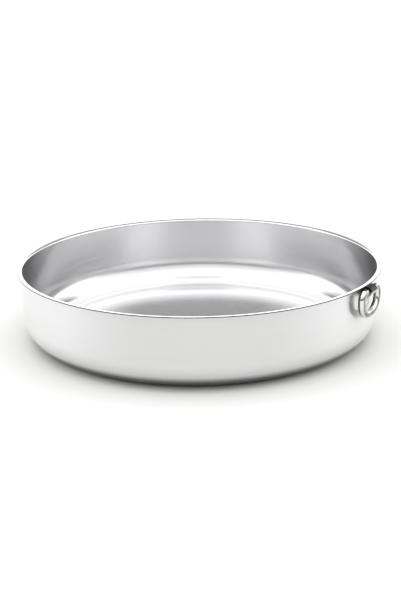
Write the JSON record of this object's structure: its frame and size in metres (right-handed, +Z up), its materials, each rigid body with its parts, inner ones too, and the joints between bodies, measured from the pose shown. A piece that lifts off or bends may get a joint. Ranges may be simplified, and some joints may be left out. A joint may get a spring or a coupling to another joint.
{
  "type": "oven pan",
  "caption": "Shallow round steel oven pan with a straight wall, a large base radius, a flat turned-out rim and a D-shaped ring that hangs from a strap under the rim.",
  "frame": {"origin": "centre of the base's underside, on the pan's axis", "axes": "+Z up along the pan's axis, +X through the middle of the hanging ring, +Y along the ring's hinge"},
  "size_m": [0.3249, 0.32, 0.064],
  "materials": {
    "satin_steel": "satin, brushed around the axis",
    "strap_steel": "plain rolled strip",
    "polished_steel": "polished"
  },
  "bodies": {
    "pan": {"pan_shell": "satin_steel", "ring_clip": "strap_steel"},
    "ring": {"hanging_ring": "polished_steel"}
  },
  "joints": [
    {"name": "ring_swing", "type": "hinge", "parent": "pan", "child": "ring", "pos_m": [0.1607, 0, 0.0587], "axis": [0, -1, 0], "range_deg": [-4, 140]}
  ]
}
